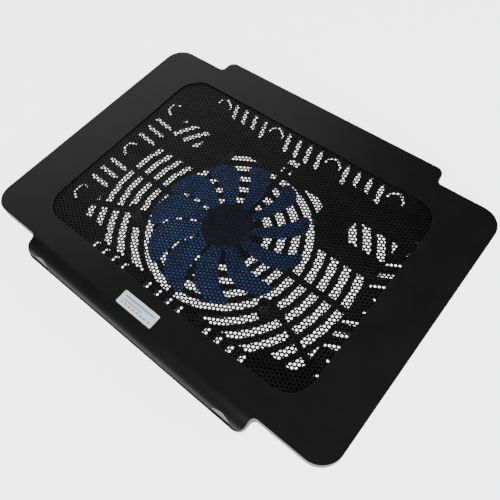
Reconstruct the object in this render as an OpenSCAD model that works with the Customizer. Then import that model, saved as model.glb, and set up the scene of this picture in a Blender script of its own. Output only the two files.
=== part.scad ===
// Laptop cooling pad: a moulded frame round a perforated steel grille, over a slotted tray that
// holds one large fan, a power board with two USB sockets and a slide switch, and two flip-out feet.
// +X is to the right, +Y to the rear and +Z up. The origin is on the desk, under the middle of the pad.

/* [Body] */
// Width of the pad
pad_w = 340; // [320:1:380]
// Depth of the pad at its corners
body_d = 229.5; // [224:0.5:240]
// How far the front and rear tabs stand out past the corners
tab_out = 14; // [12:1:16]
// Width of the front and rear tabs
tab_w = 225; // [210:1:235]
// Height of the top face above the desk
top_z = 24; // [24:0.5:26]
// Radius of the four body corners
corner_r = 17; // [14:1:20]
// Radius of the tab corners
tab_r = 7; // [5:0.5:8]
// Radius of the inside corner beside each tab
notch_r = 4; // [3:0.5:5]

/* [Grille] */
// Width of the window that shows the grille
window_w = 260; // [250:1:264]
// Depth of the window
window_d = 186; // [180:1:188]
// Corner radius of the window
window_r = 21; // [18:1:24]
// Distance between hole centres
hole_pitch = 12.4; // [12:0.1:16]
// Hole width as a share of the pitch
hole_share = 0.76; // [0.5:0.01:0.8]

/* [Fan] */
// Radius at the blade tips
blade_tip_r = 66.5; // [60:0.5:67]
// Radius of the hub
hub_r = 21; // [20.5:0.1:23]
// Number of blades
blade_count = 11; // [7:1:11]
// How far the fan axis lies in front of the middle of the pad
fan_forward = 11.5; // [8:0.5:14]

/* [Hidden] */
$fn = 48;

black = [0.05, 0.05, 0.055];
steel = [0.6, 0.61, 0.63];
blue = [0.08, 0.14, 0.42];
rubber = [0.09, 0.09, 0.09];
board_green = [0.05, 0.3, 0.14];

// Rim, walls and joint between the two mouldings
wall_t = 2;
plate_t = 2.2;
flange_t = 2;
rim_z = 13;
seam_z = rim_z + flange_t;
lip_h = 2.5;
lip_t = 1;
lip_gap = 0.15;
half_d = body_d / 2 + tab_out;

// The front lip rolls down as part of a cylinder that meets the rim's lower edge at the very front
roll_r = 15;
roll_z = top_z - roll_r;
roll_y = -(half_d - sqrt(roll_r * roll_r - pow(rim_z - roll_z, 2)));

// The grille lies under the window's edge, inside a low wall, on melted-over stakes
grille_t = 0.6;
window_lip_t = 1.2;
grille_z = top_z - window_lip_t - grille_t;
grille_border = 5;
grille_gap = 0.2;
seat_wall = 1.6;
seat_z = grille_z - 1.4;
grille_margin = 4.9;
stake_r = 1.1;
stake_gap = 0.1;
stake_head_r = 1.9;
stake_head_t = 0.6;
stake_out = 2.6;
stake_x = [-90, -30, 30, 90];
stake_y = [-45, 45];

// Tray
floor_z = 2;
floor_t = 2.2;
floor_top = floor_z + floor_t;
floor_w = 234;
floor_d = 166;
floor_r = 16;
tray_w = 268;
tray_d = 200;
tray_r = 30;

// Ring slots in the floor, round the fan axis
fan_y = -fan_forward;
ring_r0 = 33;
ring_step = 11.25;
ring_w = 6.4;
ring_count = 10;
bar_w = 5;
fan_rings_r = 72;
slot_x = 115.5;
slot_front = -80.5;
slot_corner_x = 82;
slot_corner_y = -71.5;
band_front = 20.3;
band_rear = 39;
slot_rear = 60.5;
rear_slot_w = 10;
rear_slot_d = [64, 82];

// Slanted slots in the sloping walls, in groups, with a crescent between two groups
wall_slot_l = 15;
wall_slot_w = 4.2;
wall_slot_pitch = 11.3;
wall_slot_lean = 10;
rear_group_pitch = 61.5;
side_group_pitch = 59;
wall_slot_rear_y = 90;
wall_slot_side_x = 124.5;
crescent_r = 8.6;
crescent_w = 2.2;

// Posts that hold up the grille
post_r = 4;
post_at = [[-68, -48.5], [68, -48.5], [-63, 60], [63, 60]];
post_patch_r = 6.5;

// Case screws, from below through the rim's flange
screw_at = [[-150, -88], [150, -88], [-150, 88], [150, 88], [-38, -109], [38, -109], [-38, 113], [38, 113]];
screw_r = 1.5;
pilot_r = 1.55;
screw_head_r = 2.8;
boss_r = 3.6;

// Arched reliefs in the front lip, each with a clear bumper behind it
arch_x = 94;
arch_r = 14;
arch_half = 10;
arch_gap = 0.15;
bumper_drop = 0.7;
arch_z = seam_z - sqrt(arch_r * arch_r - arch_half * arch_half);

// Rubber feet
foot_pad = [30, 9];
foot_pad_at = [[-97, -78], [97, -78], [-97, 29.6], [97, 29.6]];

// Flip-out feet
flip_x = 63;
flip_w = 22;
flip_front = 39.3;
grip_d = 3;
hinge_y = 77.4;
hinge_z = 4.9;
barrel_r = 2.6;
pin_r = 1.25;
pin_gap = 0.05;
pocket_gap = 1;
pocket_wall = 2;
pocket_top = 8;
pocket_front = 38.5;
pocket_rear = 81;

// Motor
hub_z0 = 5.6;
hub_z1 = 15;
hub_wall = 1.5;
hub_top_t = 1.6;
yoke_r = hub_r - hub_wall - 0.1;
yoke_t = 0.8;
yoke_z0 = 6;
yoke_z1 = 13.3;
magnet_t = 2.1;
magnet_z = [6.2, 12.2];
core_r = 16;
core_z = [6.8, 10.4];
core_ring_r = 7.5;
pole_w = 4;
pole_shoe_t = 1.8;
tube_r = 4.8;
tube_z = [2.9, 11.2];
bush_r = 3.5;
bush_z = [4.3, 11];
shaft_r = 1.5;
shaft_z = [3.75, 14.2];
running_gap = 0.03;
clip_z = [3.8, 4.2];
clip_groove_r = 1.2;
board_r = 17;
motor_board_z = 4.6;
board_t = 1;

// Fan blades: each is a piece of a cambered shell, swept forward towards its tip
blade_t = 1.5;
blade_phase = 13.5;
blade_root = 24;
blade_tip = 39.5;
blade_lean = 20;
blade_power = 2.6;
blade_axis = 22;
blade_camber_r = 80;
camber_y = 29.75;
camber_z = 85.2;
blade_z = [5.8, 14.6];
blade_steps = 8;

// Label sunk in the front of the frame
label_size = [35.5, 11.2];
label_t = 0.15;
label_y = -108.6;
label_gap = 0.1;

// Power board at the rear left, with two sockets and a switch that face the rear
board_x = [-104, -48];
board_y = [106, 126];
board_z = seam_z;
board_screw_r = 1.25;
board_screw_head_r = 2.2;
socket_x = [-94, -76];
socket_size = [13.1, 14, 5.7];
socket_t = 0.35;
socket_mouth = half_d - 0.35;
socket_z = board_z + board_t;
tongue_size = [11.1, 11, 1.9];
contact_pitch = 2.4;
switch_x = -57;
switch_size = [9, 4.5, 4.4];
switch_y = 121.6;
knob_size = [2.4, 4.65, 1.8];
knob_travel = 3;
knob_drop = 0.4;
knob_z = 18.3;

// Lead from the motor board to the power board, laid in a groove and then up the rear wall
lead_d = 1.2;
lead_sides = 8;
lead_route = [[0, 4, 4], [0, 9, 3.6], [0, 14, 3.5], [0, 24, 3.5], [0, 36, 3.5], [0, 48, 3.5], [0, 56, 3.6],
    [0, 61, 5], [-3, 66, 5.2], [-10, 72, 5.1], [-18, 77, 5.1], [-26, 80.5, 5.2], [-34, 84, 7],
    [-41, 88, 9.7], [-47, 93, 13], [-51, 98.5, 16.2], [-53, 104, 17.2], [-54, 109, 17.1], [-54.5, 113, 16.6]];

module rounded(w, d, r) {
    square([w - 2 * r, d], center = true);
    square([w, d - 2 * r], center = true);
    for (sx = [-1, 1], sy = [-1, 1])
        translate([sx * (w / 2 - r), sy * (d / 2 - r)]) circle(r = r);
}

// Plan of the whole pad, moved in by inset on every side
module outline(inset = 0) {
    rounded(pad_w - 2 * inset, body_d - 2 * inset, corner_r - inset);
    rounded(tab_w - 2 * inset, 2 * (half_d - inset), tab_r - inset);
    fillet = notch_r + inset;
    for (sx = [-1, 1], sy = [-1, 1])
        scale([sx, sy]) translate([tab_w / 2 - inset, body_d / 2 - inset]) difference() {
            translate([-1, -1]) square(fillet + 1);
            translate([fillet, fillet]) circle(r = fillet);
        }
}

// Everything under the top face and behind the rolled front lip, moved in by inset
module under_roll(inset = 0) {
    rotate([90, 0, 90]) linear_extrude(pad_w + 10, center = true) {
        translate([roll_y, -1]) square([half_d - roll_y + 10, top_z - inset + 1]);
        intersection() {
            translate([roll_y, roll_z]) circle(r = roll_r - inset);
            translate([roll_y - roll_r, rim_z - 2]) square([roll_r + 1, top_z]);
        }
    }
}

module pad_block(inset, drop, z0, z1) {
    intersection() {
        translate([0, 0, z0]) linear_extrude(z1 - z0) outline(inset);
        under_roll(drop);
    }
}

module at_screws() {
    for (p = screw_at) translate([p[0], p[1], 0]) children();
}

module arches(r, y0, y1) {
    for (s = [-1, 1]) translate([s * arch_x, y0, arch_z])
        rotate([-90, 0, 0]) cylinder(r = r, h = y1 - y0);
}

module socket_cuts() {
    cut = [socket_size[0] + 0.4, 12, top_z - plate_t - socket_z + 0.1];
    for (x = socket_x) translate([x - cut[0] / 2, half_d - 8, socket_z - 0.1]) cube(cut);
    knob_cut = [knob_size[0] + knob_travel + 0.6, 12, knob_size[2] + 0.6];
    translate([switch_x - knob_cut[0] / 2, half_d - wall_t - 1, knob_z - knob_cut[2] / 2]) cube(knob_cut);
}

// Plan of the window, made wider by grow on every side
module window(grow) {
    rounded(window_w + 2 * grow, window_d + 2 * grow, window_r + grow);
}

module at_stakes() {
    for (x = stake_x, s = [-1, 1]) translate([x, s * (window_d / 2 + stake_out), 0]) children();
    for (y = stake_y, s = [-1, 1]) translate([s * (window_w / 2 + stake_out), y, 0]) children();
}

module top_frame() {
    color(black) difference() {
        union() {
            difference() {
                pad_block(0, 0, seam_z, top_z);
                pad_block(wall_t, plate_t, seam_z - 1, top_z - plate_t);
            }
            translate([0, 0, seat_z]) linear_extrude(top_z - plate_t - seat_z + 0.5)
                window(grille_border + grille_gap + seat_wall);
            at_screws() translate([0, 0, seam_z]) cylinder(r = boss_r, h = top_z - plate_t - seam_z + 0.5);
        }
        translate([0, 0, seat_z - 1]) linear_extrude(10) window(0);
        translate([0, 0, seat_z - 1]) linear_extrude(grille_z + grille_t - seat_z + 1)
            window(grille_border + grille_gap);
        at_screws() translate([0, 0, seam_z - 1]) cylinder(r = pilot_r, h = 6.5);
        arches(arch_r, -half_d - 1, -half_d + 6);
        socket_cuts();
        translate([0, label_y, top_z - label_t]) linear_extrude(1)
            rounded(label_size[0] + 2 * label_gap, label_size[1] + 2 * label_gap, 0.8 + label_gap);
    }
    color(black) at_stakes() {
        translate([0, 0, grille_z - stake_head_t]) cylinder(r = stake_head_r, h = stake_head_t);
        translate([0, 0, grille_z - 0.1]) cylinder(r = stake_r, h = grille_t + 0.3);
    }
}

module grille_holes() {
    w = window_w / 2 - grille_margin;
    d = window_d / 2 - grille_margin;
    r = window_r - grille_margin;
    column = hole_pitch * sqrt(3) / 2;
    for (i = [-10:10], j = [-8:8]) {
        x = i * column;
        y = (j + (i % 2 == 0 ? 0 : 0.5)) * hole_pitch;
        corner = [abs(x) - w + r, abs(y) - d + r];
        inside = abs(x) <= w && abs(y) <= d && !(min(corner) > 0 && norm(corner) > r);
        if (inside) translate([x, y]) circle(r = hole_pitch * hole_share / 2);
    }
}

module mesh_grille() {
    color(black) translate([0, 0, grille_z]) linear_extrude(grille_t) difference() {
        window(grille_border);
        grille_holes();
        at_stakes() circle(r = stake_r + stake_gap);
    }
}

module ring_slots() {
    difference() {
        intersection() {
            translate([0, fan_y]) for (k = [0:ring_count - 1]) {
                r = ring_r0 + k * ring_step;
                difference() {
                    circle(r = r + ring_w / 2);
                    circle(r = r - ring_w / 2);
                }
            }
            union() {
                translate([-slot_x, slot_corner_y]) square([2 * slot_x, band_front - slot_corner_y]);
                translate([-slot_corner_x, slot_front]) square([2 * slot_corner_x, band_front - slot_front]);
                translate([-slot_x, band_rear]) square([2 * slot_x, slot_rear - band_rear]);
                translate([0, fan_y]) circle(r = fan_rings_r);
                translate([-rear_slot_w / 2, rear_slot_d[0]])
                    square([rear_slot_w, rear_slot_d[1] - rear_slot_d[0]]);
            }
        }
        for (a = [0, 180, 270]) translate([0, fan_y]) rotate(a)
            translate([0, -bar_w / 2]) square([200, bar_w]);
        translate([-bar_w / 2, fan_y]) square([bar_w, fan_rings_r + 8]);
        for (a = [202.3, 337.7]) translate([0, fan_y]) rotate(a)
            translate([fan_rings_r, -bar_w / 2]) square([100, bar_w]);
        for (p = post_at) translate(p) circle(r = post_patch_r);
        for (s = [-1, 1])
            translate([s * flip_x - flip_w / 2 - pocket_gap - pocket_wall, pocket_front - pocket_wall])
                square([flip_w + 2 * (pocket_gap + pocket_wall), pocket_rear - pocket_front + 2 * pocket_wall]);
    }
}

module wall_slot() {
    rotate(wall_slot_lean) {
        square([wall_slot_w, wall_slot_l - wall_slot_w], center = true);
        for (s = [-1, 1]) translate([0, s * (wall_slot_l - wall_slot_w) / 2]) circle(r = wall_slot_w / 2);
    }
}

module crescent() {
    intersection() {
        difference() {
            circle(r = crescent_r);
            circle(r = crescent_r - crescent_w);
        }
        translate([-crescent_r, 1.5]) square([2 * crescent_r, crescent_r]);
    }
}

// Plan of the slots in the four sloping walls
module wall_slots() {
    for (turn = [0, 180]) rotate(turn) {
        for (g = [-1:1], i = [-1.5:1.5])
            translate([g * rear_group_pitch + i * wall_slot_pitch, wall_slot_rear_y]) wall_slot();
        for (g = [-1.5:1.5]) translate([g * rear_group_pitch, wall_slot_rear_y - 1]) crescent();
        for (g = [-0.5, 0.5], i = [-1:1])
            translate([wall_slot_side_x, g * side_group_pitch + i * wall_slot_pitch]) rotate(-90) wall_slot();
        for (g = [-1:1]) translate([wall_slot_side_x - 1, g * side_group_pitch]) rotate(-90) crescent();
    }
}

module tray_block(lift) {
    hull() {
        translate([0, 0, floor_z + lift]) linear_extrude(0.01) rounded(floor_w, floor_d, floor_r, $fn = 32);
        translate([0, 0, rim_z + lift]) linear_extrude(1) rounded(tray_w, tray_d, tray_r, $fn = 32);
    }
}

module pocket_block(grow, z0, z1) {
    for (s = [-1, 1]) translate([s * flip_x - flip_w / 2 - pocket_gap - grow, pocket_front - grow, z0])
        cube([flip_w + 2 * (pocket_gap + grow), pocket_rear - pocket_front + 2 * grow, z1 - z0]);
}

module corner_ribs() {
    for (s = [-1, 1], i = [0:3])
        translate([s * (84 + i * 6.5), 71, floor_top - 0.3]) rotate(s * -38)
            translate([-0.7, -7, 0]) cube([1.4, 14, 1.5]);
}

module base_shell() {
    color(black) difference() {
        union() {
            difference() {
                union() {
                    pad_block(0, 0, rim_z, seam_z);
                    tray_block(0);
                }
                tray_block(floor_t);
            }
            intersection() {
                difference() {
                    translate([0, 0, seam_z - 0.5]) linear_extrude(lip_h + 0.5) difference() {
                        outline(wall_t + lip_gap);
                        outline(wall_t + lip_gap + lip_t);
                    }
                    translate([board_x[0] - 2, board_y[0], seam_z])
                        cube([board_x[1] - board_x[0] + 4, 40, lip_h + 1]);
                }
                under_roll(plate_t + 2 * lip_gap);
            }
            pocket_block(pocket_wall, floor_z, pocket_top + pocket_wall);
            for (p = post_at) translate([p[0], p[1], floor_z + 1])
                cylinder(r = post_r, h = grille_z - 0.1 - floor_z - 1);
            translate([0, fan_y, floor_z]) cylinder(r = 9, h = motor_board_z - floor_z);
            corner_ribs();
        }
        translate([0, 0, floor_z - 1]) linear_extrude(floor_t + 1.5) ring_slots();
        translate([0, 0, floor_z - 1]) linear_extrude(rim_z + 2) wall_slots();
        pocket_block(0, floor_z - 1, pocket_top);
        for (s = [-1, 1]) translate([s * flip_x - flip_w / 2 - pocket_gap - pocket_wall + 0.4, hinge_y, hinge_z])
            rotate([0, 90, 0])
            cylinder(r = pin_r + pin_gap / 2, h = flip_w + 2 * (pocket_gap + pocket_wall) - 0.8);
        translate([0, fan_y, tube_z[0]]) cylinder(r = tube_r, h = 10);
        translate([-0.8, 3, floor_top - 1.4]) cube([1.6, 58.5, 3]);
        at_board_screws() translate([0, 0, rim_z + 0.4]) cylinder(r = board_screw_r + 0.05, h = flange_t);
        at_screws() {
            translate([0, 0, rim_z - 1]) cylinder(r = screw_r + 0.2, h = flange_t + 2);
            translate([0, 0, rim_z - 1]) cylinder(r = screw_head_r + 0.2, h = 2);
        }
    }
}

module front_bumpers() {
    color([0.85, 0.86, 0.88]) intersection() {
        arches(arch_r - arch_gap, -half_d, -half_d + 5);
        translate([-arch_x - arch_r, -half_d, seam_z]) cube([2 * (arch_x + arch_r), 5, 5]);
        under_roll(bumper_drop);
    }
}

module rubber_feet() {
    color(rubber) for (p = foot_pad_at) translate([p[0], p[1], 0])
        linear_extrude(floor_z) rounded(foot_pad[0], foot_pad[1], 4);
}

module case_screws() {
    color(steel) at_screws() difference() {
        union() {
            translate([0, 0, rim_z + 0.05]) cylinder(r = screw_r, h = 7);
            translate([0, 0, rim_z - 0.9]) cylinder(r = screw_head_r, h = 1.85);
        }
        for (a = [0, 90]) rotate(a) translate([-1.5, -0.35, rim_z - 1]) cube([3, 0.7, 1.1]);
    }
}

module label_plate() {
    color("white") translate([0, label_y, top_z - label_t]) linear_extrude(label_t)
        rounded(label_size[0], label_size[1], 0.8);
}

module on_fan_axis() {
    translate([0, fan_y, 0]) children();
}

module ring(r_out, r_in, z) {
    translate([0, 0, z[0]]) difference() {
        cylinder(r = r_out, h = z[1] - z[0]);
        translate([0, 0, -1]) cylinder(r = r_in, h = z[1] - z[0] + 2);
    }
}

module bearing_tube() {
    color([0.75, 0.6, 0.3]) on_fan_axis() difference() {
        translate([0, 0, tube_z[0]]) cylinder(r = tube_r, h = tube_z[1] - tube_z[0]);
        translate([0, 0, tube_z[0] + 0.4]) cylinder(r = bush_r, h = 20);
    }
}

module bearing_bush() {
    color([0.6, 0.45, 0.25]) on_fan_axis() ring(bush_r, shaft_r + running_gap, bush_z);
}

module thrust_pad() {
    color("white") on_fan_axis() translate([0, 0, tube_z[0] + 0.4]) cylinder(r = bush_r - 0.1, h = 0.4);
}

module at_poles() {
    for (a = [0:90:270]) rotate(a) children();
}

module stator_core() {
    z0 = core_z[0];
    h = core_z[1] - core_z[0];
    color(steel) on_fan_axis() difference() {
        union() {
            translate([0, 0, z0]) cylinder(r = core_ring_r, h = h);
            at_poles() translate([0, -pole_w / 2, z0]) cube([core_r - 1, pole_w, h]);
            at_poles() intersection() {
                ring(core_r, core_r - pole_shoe_t, core_z);
                rotate(-38) cube([40, 40, 40]);
                rotate(-52) cube([40, 40, 40]);
            }
        }
        translate([0, 0, z0 - 1]) cylinder(r = tube_r, h = h + 2);
    }
}

module arm_sleeve(x, w, z, w_in, z_in) {
    difference() {
        translate([x[0], -w / 2, z[0]]) cube([x[1] - x[0], w, z[1] - z[0]]);
        translate([x[0] - 1, -w_in / 2, z_in[0]]) cube([x[1] - x[0] + 2, w_in, z_in[1] - z_in[0]]);
    }
}

module stator_insulator() {
    color("ivory") on_fan_axis() at_poles() {
        arm_sleeve([7.7, 13.2], pole_w + 1.2, [6.3, 10.9], pole_w, core_z);
        arm_sleeve([7.7, 8.2], 10, [5.8, 11.4], pole_w, core_z);
        arm_sleeve([12.7, 13.2], 10, [5.8, 11.4], pole_w, core_z);
    }
}

module stator_coils() {
    color([0.72, 0.38, 0.18]) on_fan_axis() at_poles()
        arm_sleeve([8.25, 12.65], 9.2, [5.9, 11.3], pole_w + 1.3, [6.25, 10.95]);
}

module motor_board() {
    color(board_green) on_fan_axis() ring(board_r, tube_r + 0.1, [motor_board_z, motor_board_z + board_t]);
}

module hall_sensor() {
    color([0.1, 0.1, 0.1]) on_fan_axis() rotate(45)
        translate([11, -2, motor_board_z + board_t]) cube([3, 4, 1.1]);
}

function unit(v) = v / norm(v);
function lead_dir(i) = unit(lead_route[min(i + 1, len(lead_route) - 1)] - lead_route[max(i - 1, 0)]);
function lead_side(i) = unit(cross(lead_dir(i), [0, 0, 1]));
function lead_up(i) = cross(lead_side(i), lead_dir(i));
function lead_point(i, k) = lead_route[i] + lead_d / 2
    * (cos(k * 360 / lead_sides) * lead_side(i) + sin(k * 360 / lead_sides) * lead_up(i));

module fan_lead() {
    rings = len(lead_route);
    n = lead_sides;
    color([0.5, 0.05, 0.05]) polyhedron(
        points = [for (i = [0:rings - 1], k = [0:n - 1]) lead_point(i, k)],
        faces = concat(
            [[for (k = [0:n - 1]) k]],
            [for (i = [0:rings - 2], k = [0:n - 1])
                [i * n + k, (i + 1) * n + k, (i + 1) * n + (k + 1) % n, i * n + (k + 1) % n]],
            [[for (k = [n - 1:-1:0]) (rings - 1) * n + k]]));
}

module usb_board() {
    color(board_green) difference() {
        translate([board_x[0], board_y[0], board_z])
            cube([board_x[1] - board_x[0], board_y[1] - board_y[0], board_t]);
        at_board_screws() translate([0, 0, board_z - 1]) cylinder(r = board_screw_r + 0.15, h = 4);
    }
}

module at_board_screws() {
    for (x = [board_x[0] + 2.6, board_x[1] - 2.6]) translate([x, board_y[0] + 3, 0]) children();
}

module board_screws() {
    color(steel) at_board_screws() {
        translate([0, 0, rim_z + 0.5]) cylinder(r = board_screw_r, h = board_z + board_t - rim_z);
        translate([0, 0, board_z + board_t]) cylinder(r = board_screw_head_r, h = 1.2);
    }
}

// Capacitor, resistors and a driver chip on the power board
module board_parts() {
    z = board_z + board_t;
    color([0.15, 0.15, 0.17]) {
        translate([-66, 111.5, z]) cylinder(r = 2, h = 4.6);
        for (i = [0:2]) translate([-98 + i * 4, 109, z]) cube([2, 1.2, 0.6]);
        translate([-86, 108.5, z]) cube([4, 3.6, 1.4]);
    }
}

module usb_shells() {
    s = socket_size;
    color(steel) for (x = socket_x) translate([x - s[0] / 2, socket_mouth - s[1], socket_z]) difference() {
        cube(s);
        translate([socket_t, 0.6, socket_t]) cube([s[0] - 2 * socket_t, s[1], s[2] - 2 * socket_t]);
    }
}

module usb_tongues() {
    s = socket_size;
    t = tongue_size;
    color("white") for (x = socket_x) translate([x, socket_mouth - s[1] + 0.6, socket_z]) {
        translate([-s[0] / 2 + socket_t, 0, socket_t]) cube([s[0] - 2 * socket_t, 2, s[2] - 2 * socket_t]);
        translate([-t[0] / 2, 1.9, s[2] - socket_t - 0.5 - t[2]]) cube(t);
    }
}

module usb_contacts() {
    s = socket_size;
    t = tongue_size;
    color([0.8, 0.65, 0.25]) for (x = socket_x, i = [-1.5:1.5])
        translate([x + i * contact_pitch - 0.5, socket_mouth - s[1] + 2.9,
            socket_z + s[2] - socket_t - 0.5 - t[2] - 0.2]) cube([1, t[1] - 2, 0.2]);
}

module switch_body() {
    s = switch_size;
    color([0.12, 0.12, 0.12]) difference() {
        translate([switch_x - s[0] / 2, switch_y, socket_z]) cube(s);
        translate([switch_x - 3.2, switch_y + 2, knob_z - 1.15]) cube([6.4, 5, 2.3]);
    }
}

module switch_slider() {
    k = knob_size;
    color([0.2, 0.2, 0.2]) translate([switch_x - knob_travel / 2, 0, knob_z]) {
        translate([-k[0] / 2, half_d - knob_drop - k[1], -k[2] / 2]) cube(k);
        translate([-k[0] / 2 - 0.4, switch_y + 2.1, -k[2] / 2]) cube([k[0] + 0.8, 2, k[2]]);
    }
}

module foot_pins() {
    color(steel) for (s = [-1, 1])
        translate([s * flip_x - flip_w / 2 - pocket_gap - pocket_wall + 0.5, hinge_y, hinge_z])
        rotate([0, 90, 0]) cylinder(r = pin_r, h = flip_w + 2 * (pocket_gap + pocket_wall) - 1);
}

// Plan of one blade: both edges lean forward faster and faster towards the tip
function blade_edge(r, root, sweep) =
    let (a = root + sweep * pow(max(0, r - hub_r) / (blade_tip_r - hub_r), blade_power)) [r * cos(a), r * sin(a)];

module blade_plan() {
    step = (blade_tip_r + 4 - hub_r + 1) / blade_steps;
    radii = [for (i = [0:blade_steps]) hub_r - 1 + i * step];
    intersection() {
        polygon(concat(
            [for (r = radii) blade_edge(r, 0, blade_lean)],
            [for (i = [blade_steps:-1:0]) blade_edge(radii[i], blade_root, blade_tip - blade_root)]));
        circle(r = blade_tip_r);
    }
}

module blade() {
    intersection() {
        translate([0, 0, blade_z[0]]) linear_extrude(blade_z[1] - blade_z[0]) blade_plan();
        rotate(blade_axis) translate([15, camber_y, camber_z]) rotate([0, 90, 0]) difference() {
            cylinder(r = blade_camber_r + blade_t / 2, h = blade_tip_r);
            translate([0, 0, -1]) cylinder(r = blade_camber_r - blade_t / 2, h = blade_tip_r + 2);
        }
    }
}

module fan_rotor() {
    color(blue) on_fan_axis() difference() {
        union() {
            difference() {
                translate([0, 0, hub_z0]) cylinder(r = hub_r, h = hub_z1 - hub_z0);
                translate([0, 0, hub_z0 - 1])
                    cylinder(r = hub_r - hub_wall, h = hub_z1 - hub_top_t - hub_z0 + 1);
            }
            translate([0, 0, 11.6]) cylinder(r = 2.9, h = hub_z1 - 12);
            for (i = [0:blade_count - 1]) rotate(blade_phase + i * 360 / blade_count) difference() {
                blade();
                translate([0, 0, hub_z0 - 1]) cylinder(r = hub_r - hub_wall / 2, h = 20);
            }
        }
        translate([0, 0, 10]) cylinder(r = shaft_r, h = shaft_z[1] - 10);
    }
}

module rotor_yoke() {
    color(steel) on_fan_axis() {
        difference() {
            translate([0, 0, yoke_z0]) cylinder(r = yoke_r, h = yoke_z1 - yoke_z0);
            translate([0, 0, yoke_z0 - 1]) cylinder(r = yoke_r - yoke_t, h = yoke_z1 - yoke_z0 + 1 - yoke_t);
            translate([0, 0, yoke_z0 - 1]) cylinder(r = 3.1, h = 20);
        }
    }
}

module magnet_ring() {
    color([0.15, 0.14, 0.13]) on_fan_axis()
        ring(yoke_r - yoke_t - 0.02, yoke_r - yoke_t - magnet_t, magnet_z);
}

module motor_shaft() {
    color(steel) on_fan_axis() difference() {
        translate([0, 0, shaft_z[0]]) cylinder(r = shaft_r, h = shaft_z[1] - shaft_z[0]);
        ring(shaft_r + 1, clip_groove_r, clip_z);
    }
}

module shaft_clip() {
    color([0.2, 0.2, 0.2]) on_fan_axis() ring(2.4, clip_groove_r + 0.01, [clip_z[0] + 0.03, clip_z[1] - 0.03]);
}

module flip_foot(side) {
    color(black) translate([side * flip_x, 0, 0]) difference() {
        union() {
            translate([-flip_w / 2, flip_front + grip_d, hinge_z - barrel_r])
                cube([flip_w, hinge_y - flip_front - grip_d, 2 * barrel_r]);
            translate([-flip_w / 2, hinge_y, hinge_z]) rotate([0, 90, 0]) cylinder(r = barrel_r, h = flip_w);
        }
        translate([-flip_w / 2 - 1, hinge_y, hinge_z]) rotate([0, 90, 0])
            cylinder(r = pin_r + pin_gap, h = flip_w + 2);
        for (s = [-1, 1]) translate([s * 5 - 3.6, 47, 0]) cube([7.2, 24, 5.4]);
    }
}

module foot_grip(side) {
    color(rubber) translate([side * flip_x - flip_w / 2, flip_front, hinge_z - barrel_r])
        cube([flip_w, grip_d, 2 * barrel_r]);
}

top_frame();
mesh_grille();
base_shell();
front_bumpers();
rubber_feet();
case_screws();
label_plate();
bearing_tube();
bearing_bush();
thrust_pad();
stator_core();
stator_insulator();
stator_coils();
motor_board();
hall_sensor();
fan_lead();
usb_board();
board_parts();
board_screws();
usb_shells();
usb_tongues();
usb_contacts();
switch_body();
foot_pins();
fan_rotor();
rotor_yoke();
magnet_ring();
motor_shaft();
shaft_clip();
switch_slider();
flip_foot(-1);  // flip_foot_left
foot_grip(-1);  // foot_grip_left
flip_foot(1);  // flip_foot_right
foot_grip(1);  // foot_grip_right
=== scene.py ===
"""Looks of a laptop cooling pad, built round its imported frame.

The pad is a moulded black frame round a perforated steel grille. One large blue fan turns under the
grille, over the slotted floor of the base. Each sub-assembly is a class that makes its own meshes and
gives them their finishes. All lengths are in metres.
"""

import logging
import math
from collections.abc import Iterable, Sequence
from dataclasses import dataclass
from enum import Enum

import bmesh
import bpy
from mathutils import Matrix, Vector
from mathutils.geometry import tessellate_polygon

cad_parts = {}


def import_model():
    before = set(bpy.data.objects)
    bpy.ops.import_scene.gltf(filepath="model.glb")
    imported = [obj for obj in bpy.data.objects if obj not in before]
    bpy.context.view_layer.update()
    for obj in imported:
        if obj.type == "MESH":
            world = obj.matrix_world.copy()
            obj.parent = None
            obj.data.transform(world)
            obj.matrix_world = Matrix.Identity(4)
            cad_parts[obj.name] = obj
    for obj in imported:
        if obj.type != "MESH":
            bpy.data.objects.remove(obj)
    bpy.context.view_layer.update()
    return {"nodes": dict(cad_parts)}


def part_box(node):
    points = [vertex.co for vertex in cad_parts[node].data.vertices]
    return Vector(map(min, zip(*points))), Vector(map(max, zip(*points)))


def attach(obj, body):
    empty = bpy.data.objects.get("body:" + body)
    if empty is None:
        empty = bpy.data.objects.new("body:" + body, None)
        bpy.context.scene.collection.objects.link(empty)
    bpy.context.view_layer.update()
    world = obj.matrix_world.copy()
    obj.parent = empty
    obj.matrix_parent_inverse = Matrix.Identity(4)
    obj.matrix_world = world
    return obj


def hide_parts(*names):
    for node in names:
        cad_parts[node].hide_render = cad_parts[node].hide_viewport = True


frame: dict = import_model()

MM = 0.001
log = logging.getLogger("cooling_pad")

Colour = tuple[float, float, float]
Point = tuple[float, float]


class Body(Enum):
    """The rigid bodies that pieces ride on."""

    PAD = "pad"
    FAN = "fan"
    KNOB = "switch_knob"
    LEFT_FOOT = "left_foot"
    RIGHT_FOOT = "right_foot"


# --------------------------------------------------------------------------------------------------
# Shader graphs
# --------------------------------------------------------------------------------------------------


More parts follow.
